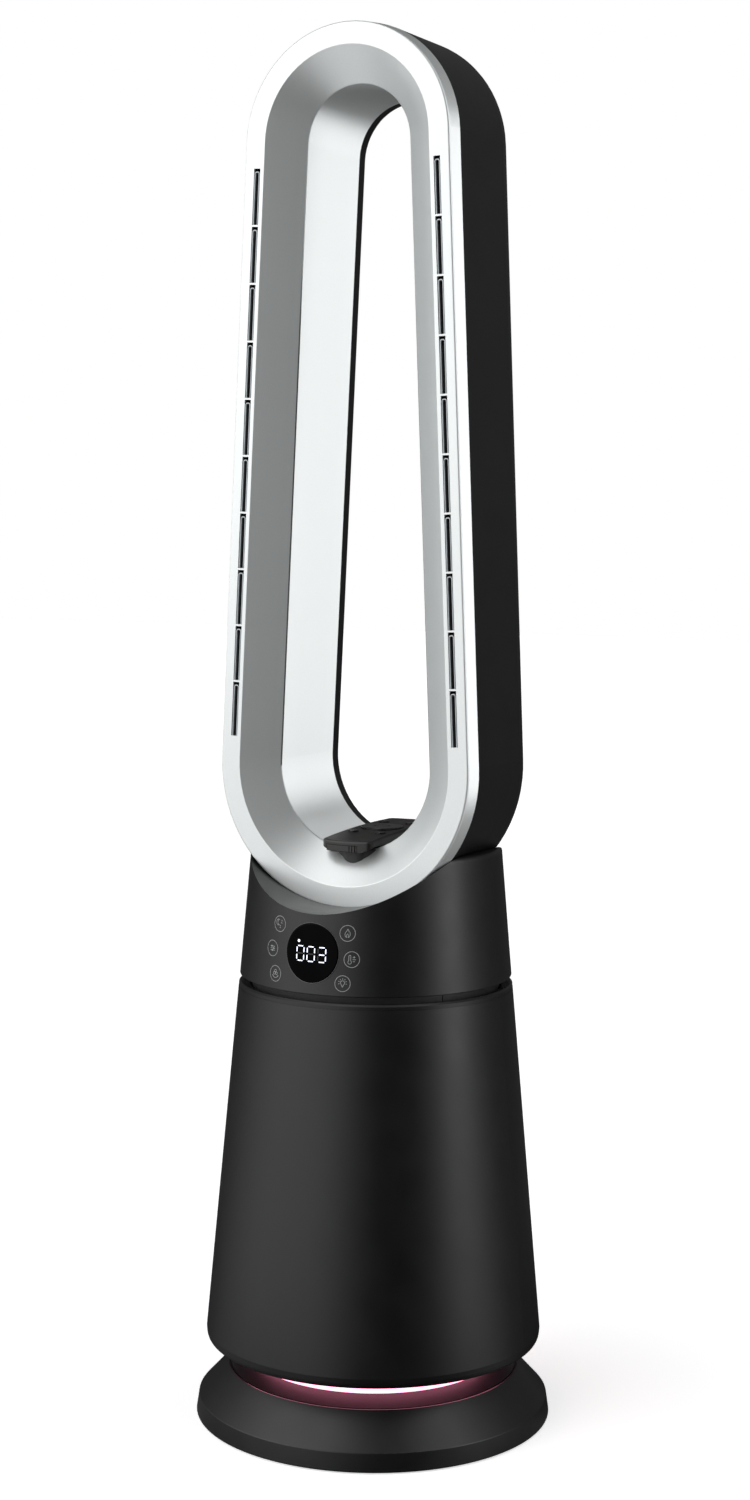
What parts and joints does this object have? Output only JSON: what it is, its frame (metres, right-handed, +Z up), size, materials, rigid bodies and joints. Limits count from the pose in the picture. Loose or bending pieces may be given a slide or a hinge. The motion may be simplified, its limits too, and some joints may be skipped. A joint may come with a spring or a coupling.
{
  "type": "bladeless tower fan",
  "caption": "Bladeless tower fan with heater: tall air loop on a swivelling head, tapered drum with rear filter cover, lit round foot, and a remote that rests in the loop.",
  "frame": {"origin": "on the floor, under the centre of the round foot", "axes": "+Z up; the display and the front of the loop face -Y; +X is on the right of a person who stands in front and looks at the display"},
  "size_m": [0.2618, 0.2618, 1.0018],
  "materials": {
    "black_shell": "satin black",
    "neck_plastic": "satin dark grey",
    "silver_paint": "fine metallic silver",
    "foot_paint": "satin black",
    "display_window": "high gloss",
    "light_diffuser": "milky, lit",
    "remote_plastic": "satin brown-black",
    "key_plastic": "satin black",
    "inner_plastic": "moulded grey",
    "gear_plastic": "natural acetal",
    "rubber": "matt",
    "plate_steel": "zinc plated",
    "machine_steel": "ground",
    "motor_metal": "cast",
    "heater_metal": "bare fins",
    "circuit_board": "solder mask",
    "filter_paper": "pleated",
    "socket_plastic": "matt black"
  },
  "bodies": {
    "base": {"foot_shell": "foot_paint", "base_plate": "plate_steel", "ballast_ring": "plate_steel", "rubber_feet": "rubber", "foot_screws": "plate_steel", "pedestal": "inner_plastic", "light_board": "circuit_board", "light_ring": "light_diffuser", "cord_inlet": "socket_plastic", "lower_housing": "black_shell", "lower_floor": "inner_plastic", "power_board": "circuit_board", "cap_ring": "black_shell", "swivel_deck": "inner_plastic", "bearing_ring": "gear_plastic", "neck_ring": "neck_plastic", "deck_screws": "plate_steel", "blower_shroud": "inner_plastic", "motor_bucket": "inner_plastic", "motor": "motor_metal", "motor_mounts": "rubber", "motor_bearings": "machine_steel", "oscillation_motor": "motor_metal", "oscillation_bracket": "inner_plastic"},
    "intake_cover": {"rear_cover": "black_shell", "filter_frame": "inner_plastic", "filter_media": "filter_paper"},
    "rotor": {"impeller": "inner_plastic", "motor_shaft": "machine_steel"},
    "drive_pinion": {"pinion": "gear_plastic"},
    "head": {"head_hub": "inner_plastic", "swivel_gear": "gear_plastic", "swivel_retainer": "gear_plastic", "head_floor": "inner_plastic", "head_housing": "black_shell", "display_lens": "display_window", "display_board": "circuit_board", "touch_board": "circuit_board", "air_manifold": "inner_plastic", "heater_element": "heater_metal", "loop_front_frame": "silver_paint", "loop_rear_shell": "black_shell", "loop_seal": "rubber", "slot_inserts": "silver_paint", "loop_neck": "inner_plastic", "remote_dock": "black_shell", "dock_magnet": "machine_steel"},
    "remote": {"remote_upper_shell": "remote_plastic", "remote_lower_shell": "remote_plastic", "remote_board": "circuit_board"},
    "battery_tray": {"remote_battery_tray": "remote_plastic", "coin_cell": "machine_steel"},
    "ring_pad": {"remote_ring_pad": "key_plastic"},
    "center_button": {"remote_center_button": "key_plastic"},
    "front_left_button": {"remote_button_front_left": "key_plastic"},
    "front_right_button": {"remote_button_front_right": "key_plastic"},
    "back_left_button": {"remote_button_back_left": "key_plastic"},
    "back_right_button": {"remote_button_back_right": "key_plastic"}
  },
  "joints": [
    {"name": "head_swivel", "type": "hinge", "parent": "base", "child": "head", "pos_m": [0, 0, 0.316], "axis": [0, 0, 1], "range_deg": [-40, 40]},
    {"name": "pinion_spin", "type": "hinge", "parent": "base", "child": "drive_pinion", "pos_m": [0, -0.075, 0.303], "axis": [0, 0, 1], "range_deg": [-300, 300]},
    {"name": "impeller_spin", "type": "hinge", "parent": "base", "child": "rotor", "pos_m": [0, 0, 0.2], "axis": [0, 0, 1], "continuous": true},
    {"name": "cover_slide", "type": "slide", "parent": "base", "child": "intake_cover", "axis": [0, 1, 0], "range_m": [0, 0.12]},
    {"name": "remote_lift", "type": "slide", "parent": "head", "child": "remote", "axis": [0, 0, 1], "range_m": [0, 0.12]},
    {"name": "tray_slide", "type": "slide", "parent": "remote", "child": "battery_tray", "axis": [0, -1, 0], "range_m": [0, 0.026]},
    {"name": "ring_pad_press", "type": "slide", "parent": "remote", "child": "ring_pad", "axis": [0, 0, -1], "range_m": [0, 0.0006], "stiffness_N_per_m": 800, "springref_m": -0.0004},
    {"name": "center_button_press", "type": "slide", "parent": "remote", "child": "center_button", "axis": [0, 0, -1], "range_m": [0, 0.0006], "stiffness_N_per_m": 800, "springref_m": -0.0004},
    {"name": "front_left_button_press", "type": "slide", "parent": "remote", "child": "front_left_button", "axis": [0, 0, -1], "range_m": [0, 0.0006], "stiffness_N_per_m": 800, "springref_m": -0.0004},
    {"name": "front_right_button_press", "type": "slide", "parent": "remote", "child": "front_right_button", "axis": [0, 0, -1], "range_m": [0, 0.0006], "stiffness_N_per_m": 800, "springref_m": -0.0004},
    {"name": "back_left_button_press", "type": "slide", "parent": "remote", "child": "back_left_button", "axis": [0, 0, -1], "range_m": [0, 0.0006], "stiffness_N_per_m": 800, "springref_m": -0.0004},
    {"name": "back_right_button_press", "type": "slide", "parent": "remote", "child": "back_right_button", "axis": [0, 0, -1], "range_m": [0, 0.0006], "stiffness_N_per_m": 800, "springref_m": -0.0004}
  ],
  "couplings": [
    {"joint": "pinion_spin", "follows": "head_swivel", "ratio": -7.3333}
  ]
}
